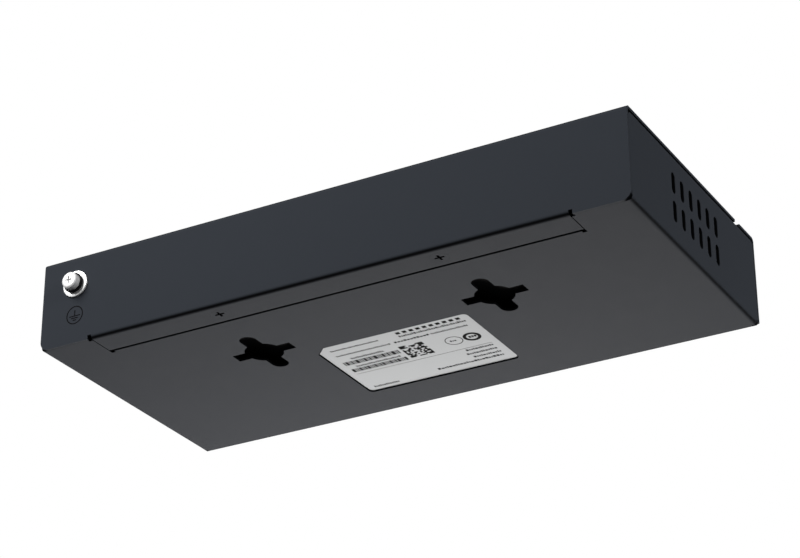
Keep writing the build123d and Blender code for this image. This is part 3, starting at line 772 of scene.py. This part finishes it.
@dataclass
class PortNumbers:
    """Plain numbers under the jacks, printed on the front panel."""

    size: float = 2.6 * MM
    ink: float = 0.03 * MM
    height: float = 2.0 * MM
    curve_steps: int = 4

    def build(self) -> None:
        """Prints a number under each jack."""
        names = [name for name in frame["nodes"] if name.startswith(("port_springs_", "uplink_springs_"))]
        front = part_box("base_tray")[0].y
        digits: list[bpy.types.Object] = []
        for number, name in enumerate(sorted(names), 1):
            low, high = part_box(name)
            digits.append(self.digit(str(number), (low.x + high.x) / 2, front))
        piece = join_all(digits, "port_numbers")
        finish_piece(piece, PORT_INK)

    def digit(self, word: str, x: float, y: float) -> bpy.types.Object:
        """Prints one number.

        Args:
            word: the number.
            x: its middle along X.
            y: the panel's face.

        Returns:
            The number as a mesh.
        """
        bpy.ops.object.text_add(location=(x, y, self.height), rotation=(math.pi / 2, 0, 0))
        digit = bpy.context.object
        digit.data.body = word
        digit.data.align_x = "CENTER"
        digit.data.size = self.size
        digit.data.extrude = self.ink
        digit.data.resolution_u = self.curve_steps
        bpy.ops.object.convert(target="MESH")
        settle(digit)
        return digit


@dataclass(frozen=True)
class MarkRow:
    """A row of small plain marks, in millimetres from the label's corner.

    start and end are distances from the +X end, low the distance from the front edge, widths and
    gap the marks' widths, in turn, and the space between them, and rises their heights, in turn,
    as shares of tall.
    """

    start: float
    end: float
    low: float
    tall: float
    widths: tuple[float, ...] = (0.5, 0.35, 0.6, 0.3, 0.45)
    gap: float = 0.26
    rises: tuple[float, ...] = (1.0, 0.75, 0.75, 1.0, 0.8, 0.7, 1.0)

    def marks(self) -> Iterator[tuple[float, float, float]]:
        """Gives the place and size of each mark.

        Yields:
            Start, width and height, in millimetres.
        """
        at = self.start
        k = 0
        while at < self.end:
            wide = self.widths[k % len(self.widths)]
            yield at, wide, self.tall * self.rises[k % len(self.rises)]
            at += wide + self.gap
            k += 1


LABEL_ROWS = (
    MarkRow(25.8, 46.4, 30.5, 1.35, (1.3,), 0.85, (1.0,)),
    MarkRow(25.7, 46.7, 28.5, 1.15),
    MarkRow(22.6, 34.0, 25.7, 1.0, (0.7, 0.8), 0.3),
    MarkRow(34.6, 46.4, 25.7, 1.0, (0.35, 0.3, 0.45)),
    MarkRow(3.4, 19.0, 29.4, 0.9, (0.35, 0.5, 0.3)),
    MarkRow(3.2, 20.8, 25.7, 0.9, (0.3, 0.45, 0.3, 0.5)),
    MarkRow(6.3, 16.8, 22.4, 1.1, (0.4, 0.45)),
    MarkRow(5.0, 19.6, 17.0, 1.0, (0.4, 0.45, 0.5)),
    MarkRow(38.0, 46.8, 10.7, 1.1, (0.7, 0.4, 0.45, 0.4)),
    MarkRow(37.0, 46.4, 8.2, 1.1, (0.7, 0.4, 0.45, 0.4)),
    MarkRow(38.0, 46.6, 5.7, 1.1, (0.7, 0.45, 0.4, 0.4)),
    MarkRow(24.8, 46.6, 3.3, 1.1, (0.9, 0.8, 0.5, 0.4)),
    MarkRow(2.4, 10.6, 1.7, 1.2, (0.4, 0.3, 0.5)),
    MarkRow(36.9, 39.0, 18.5, 0.9, (0.5, 0.35)),
    MarkRow(42.9, 44.6, 18.3, 1.2, (0.7, 0.6), 0.2, (1.0,)),
    MarkRow(2.5, 20.6, 19.1, 2.4, (0.4, 0.85, 0.3, 0.6, 0.3, 1.1, 0.35), 0.3, (1.0,)),
    MarkRow(2.4, 20.6, 14.1, 2.2, (0.9, 0.3, 0.35, 0.8, 0.3, 0.6), 0.3, (1.0,)),
    MarkRow(2.3, 47.0, 12.6, 0.1, (44.8,), 0.1, (1.0,)),
)


@dataclass
class LabelPrint:
    """Plain marks, stripes, squares and rings on the label, which say nothing.

    The sizes are in millimetres, apart from ink. rings holds each ring's middle and line, and
    square_mix, square_cycle and square_dark make the uneven pattern of the block of squares.
    build finds the label's face, its +X end, its front edge and the mark to copy.
    """

    rows: tuple[MarkRow, ...] = LABEL_ROWS
    ink: float = 0.03 * MM
    cells: int = 13
    cell: tuple[float, float] = (0.60, 0.65)
    block: tuple[float, float] = (21.9, 14.6)
    square_mix: tuple[int, int, int, int] = (3, 5, 7, 1)
    square_cycle: int = 11
    square_dark: int = 6
    rings: tuple[tuple[float, float, float], ...] = ((38.1, 18.9, 0.24), (43.9, 18.8, 1.0))
    ring_radius: float = 2.7
    face: float = field(init=False)
    left: float = field(init=False)
    front: float = field(init=False)
    mark: bpy.types.Object = field(init=False)

    def build(self) -> None:
        """Prints everything on the label's lower face as one piece."""
        low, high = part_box("rating_label")
        self.face = low.z
        self.left = high.x
        self.front = low.y
        self.mark = model_mark()
        parts = [self.bar(at, row.low, wide, tall) for row in self.rows for at, wide, tall in row.marks()]
        parts += self.squares()
        for u, v, line in self.rings:
            centre = (self.left - u * MM, self.front + v * MM, self.face)
            parts.append(add_ring(centre, self.ring_radius * MM, line * MM, 2 * self.ink))
        bpy.data.objects.remove(self.mark, do_unlink=True)
        finish_piece(join_all(parts, "label_print"), PRINT_INK)

    def bar(self, u: float, v: float, wide: float, tall: float) -> bpy.types.Object:
        """Adds a bar given in millimetres from the label's corner, seen from below.

        Args:
            u: distance from the +X end.
            v: distance from the front edge.
            wide: its size along X.
            tall: its size along Y.

        Returns:
            The bar.
        """
        x = self.left - u * MM
        y = self.front + v * MM
        return stamp(self.mark, (x - wide * MM, y, self.face - self.ink), (x, y + tall * MM, self.face + self.ink))

    def is_dark(self, i: int, j: int) -> bool:
        """Says whether a square of the block is printed.

        Args:
            i: its column.
            j: its row.

        Returns:
            Whether it is.
        """
        across, along, both, skew = self.square_mix
        return (across * i * i + along * j * j + both * i * j + skew * i) % self.square_cycle < self.square_dark

    def squares(self) -> list[bpy.types.Object]:
        """Adds a block of small squares in an uneven pattern, joined into bars where they touch.

        Returns:
            The bars.
        """
        bars: list[bpy.types.Object] = []
        wide, tall = self.cell
        for j in range(self.cells):
            run = 0
            for i in range(self.cells + 1):
                if i < self.cells and self.is_dark(i, j):
                    run += 1
                elif run:
                    u = self.block[0] + (i - run) * wide
                    bars.append(self.bar(u, self.block[1] + j * tall, run * wide, tall))
                    run = 0
        return bars


@dataclass(frozen=True)
class SoftLight:
    """A square light that points at the object: its place, its width, its power and its tint."""

    name: str
    place: tuple[float, float, float]
    size: float
    power: float
    tint: tuple[float, float, float] = (1.0, 1.0, 1.0)

    def hang(self) -> None:
        """Adds the light to the scene."""
        data = bpy.data.lights.new(self.name, "AREA")
        data.size = self.size
        data.energy = self.power
        data.color = self.tint
        lamp = bpy.data.objects.new(self.name, data)
        bpy.context.collection.objects.link(lamp)
        lamp.location = self.place
        lamp.rotation_mode = "QUATERNION"
        lamp.rotation_quaternion = (-Vector(self.place)).to_track_quat("-Z", "Y")
        lamp.visible_camera = False


LIGHTS = (
    SoftLight("rear_light", (0.34, 0.66, 0.50), 0.50, 9.7),
    SoftLight("side_light", (-0.34, -0.50, -0.02), 0.30, 0.9, (0.94, 0.98, 1.05)),
    SoftLight("under_light", (0.20, -0.46, -0.30), 0.30, 5.7, (1.0, 0.96, 0.92)),
    SoftLight("end_light", (-1.90, 0.42, 0.42), 0.60, 16.5),
    SoftLight("front_light", (0.30, -0.80, 0.42), 0.60, 7.0),
)


@dataclass
class Studio:
    """Camera at the photograph's angle, white surroundings, soft lights and a pale floor."""

    lens: float = 110.616
    sensor: float = 36.0
    eye: tuple[float, float, float] = (-311.160 * MM, 554.586 * MM, -300.399 * MM)
    view: tuple[float, float, float] = (0.435869, -0.779963, 0.449083)
    up: tuple[float, float, float] = (-0.222740, 0.389970, 0.893482)
    fill: float = 0.03
    sheen: float = 0.5
    floor_size: float = 6.0
    floor_cells: int = 4
    floor_glow: float = 0.74
    floor_grey: float = 0.22

    def build(self) -> None:
        """Sets up the camera, the world, the lights and the floor."""
        self.camera()
        self.world()
        for light in LIGHTS:
            light.hang()
        self.floor()
        bpy.context.scene.view_settings.view_transform = "Standard"

    def camera(self) -> None:
        """Puts the camera where the photograph was taken from."""
        data = bpy.data.cameras.new("camera")
        data.sensor_width = self.sensor
        data.lens = self.lens
        camera = bpy.data.objects.new("camera", data)
        bpy.context.collection.objects.link(camera)
        back = -Vector(self.view).normalized()
        up = Vector(self.up).normalized()
        right = up.cross(back).normalized()
        up = back.cross(right)
        turn = Matrix((right, up, back)).transposed().to_4x4()
        camera.matrix_world = Matrix.Translation(self.eye) @ turn
        bpy.context.scene.camera = camera

    def world(self) -> None:
        """Makes the surroundings white to the camera, pale in reflections and a weak even light."""
        world = bpy.data.worlds.new("surroundings")
        world.use_nodes = True
        bpy.context.scene.world = world
        tree = world.node_tree
        tree.nodes.clear()
        out = tree.nodes.new("ShaderNodeOutputWorld")
        path = tree.nodes.new("ShaderNodeLightPath")
        shader = self.background(tree, self.fill)
        for ray, strength in (("Is Glossy Ray", self.sheen), ("Is Camera Ray", 1.0)):
            mix = tree.nodes.new("ShaderNodeMixShader")
            tree.links.new(path.outputs[ray], mix.inputs["Fac"])
            tree.links.new(shader.outputs[0], mix.inputs[1])
            tree.links.new(self.background(tree, strength).outputs[0], mix.inputs[2])
            shader = mix
        tree.links.new(shader.outputs[0], out.inputs["Surface"])

    def background(self, tree: bpy.types.NodeTree, strength: float) -> bpy.types.Node:
        """Adds an even white background of that strength."""
        even = tree.nodes.new("ShaderNodeBackground")
        even.inputs["Color"].default_value = (1.0, 1.0, 1.0, 1.0)
        even.inputs["Strength"].default_value = strength
        return even

    def floor(self) -> None:
        """Lays a pale floor that is seen from above only, because the camera looks up from below it."""
        bpy.ops.mesh.primitive_grid_add(x_subdivisions=self.floor_cells, y_subdivisions=self.floor_cells,
                                        size=self.floor_size, location=(0, 0, 0))
        floor = bpy.context.object
        floor.name = "floor"
        material = bpy.data.materials.new("pale_floor")
        material.use_nodes = True
        tree = material.node_tree
        shader = tree.nodes["Principled BSDF"]
        shader.inputs["Base Color"].default_value = (*[self.floor_grey] * 3, 1.0)
        shader.inputs["Specular IOR Level"].default_value = 0.0
        shader.inputs["Emission Color"].default_value = (1.0, 1.0, 1.0, 1.0)
        shader.inputs["Emission Strength"].default_value = self.floor_glow
        side = tree.nodes.new("ShaderNodeNewGeometry")
        clear = tree.nodes.new("ShaderNodeBsdfTransparent")
        mix = tree.nodes.new("ShaderNodeMixShader")
        tree.links.new(side.outputs["Backfacing"], mix.inputs["Fac"])
        tree.links.new(shader.outputs["BSDF"], mix.inputs[1])
        tree.links.new(clear.outputs["BSDF"], mix.inputs[2])
        tree.links.new(mix.outputs["Shader"], tree.nodes["Material Output"].inputs["Surface"])
        floor.data.materials.append(material)
        floor.visible_shadow = False
        floor.visible_diffuse = False
        floor.visible_glossy = False


def main() -> None:
    """Builds and dresses the switch, then the studio round it."""
    logging.basicConfig(level=logging.INFO, format="%(message)s")
    CadPieces().dress()
    GroundPoint().build()
    EarthSign().build()
    PortNumbers().build()
    LabelPrint().build()
    Studio().build()


if __name__ == "__main__":
    main()
